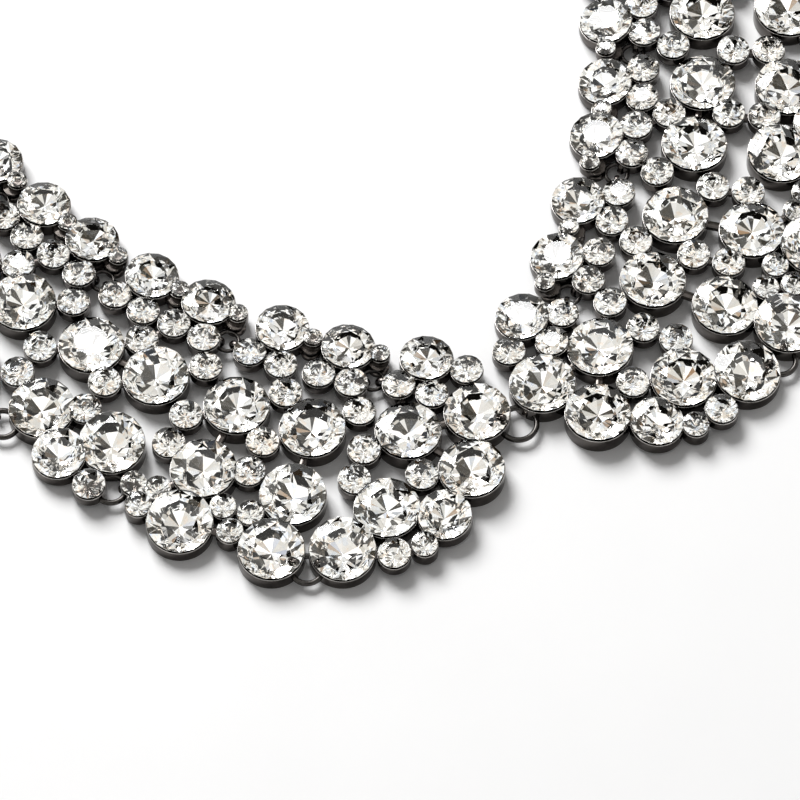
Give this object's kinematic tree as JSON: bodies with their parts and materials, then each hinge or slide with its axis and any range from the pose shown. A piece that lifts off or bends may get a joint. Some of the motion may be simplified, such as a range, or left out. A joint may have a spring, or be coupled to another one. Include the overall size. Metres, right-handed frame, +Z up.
{
  "type": "bib necklace",
  "caption": "Collar-shaped bib necklace: two crescent lobes of linked gunmetal castings set with round faceted stones, on a fine chain with a clasp.",
  "frame": {"origin": "centre of the underside of the whole necklace as it lies flat, in the plane the castings rest on", "axes": "+X from the wearer's right lobe, seen on the left, to the other lobe, across the plane of symmetry; +Y from the front of the neck to the clasp at the nape; +Z up, out of the stones' faces"},
  "size_m": [0.134, 0.1806, 0.004],
  "materials": {
    "gunmetal": "glossy gunmetal plating on cast cups, bars and eyelets and on the jump rings, darker in the recesses",
    "chain_metal": "polished gunmetal plating on chain links and clasp",
    "crystal": "clear faceted foil-backed stones in the cups, modelled in the visual model"
  },
  "bodies": {
    "root": {"front_ring": "gunmetal", "panel_left_1": "gunmetal", "panel_left_2": "gunmetal", "panel_left_3": "gunmetal", "panel_left_4": "gunmetal", "panel_left_5": "gunmetal", "panel_left_6": "gunmetal", "outer_ring_left_1": "gunmetal", "outer_ring_left_2": "gunmetal", "outer_ring_left_3": "gunmetal", "outer_ring_left_4": "gunmetal", "outer_ring_left_5": "gunmetal", "neck_ring_left_1": "gunmetal", "neck_ring_left_2": "gunmetal", "neck_ring_left_3": "gunmetal", "neck_ring_left_4": "gunmetal", "neck_ring_left_5": "gunmetal", "end_ring_left": "gunmetal", "chain_left": "chain_metal", "panel_right_1": "gunmetal", "panel_right_2": "gunmetal", "panel_right_3": "gunmetal", "panel_right_4": "gunmetal", "panel_right_5": "gunmetal", "panel_right_6": "gunmetal", "outer_ring_right_1": "gunmetal", "outer_ring_right_2": "gunmetal", "outer_ring_right_3": "gunmetal", "outer_ring_right_4": "gunmetal", "outer_ring_right_5": "gunmetal", "neck_ring_right_1": "gunmetal", "neck_ring_right_2": "gunmetal", "neck_ring_right_3": "gunmetal", "neck_ring_right_4": "gunmetal", "neck_ring_right_5": "gunmetal", "end_ring_right": "gunmetal", "chain_right": "chain_metal", "clasp": "chain_metal"}
  },
  "joints": []
}
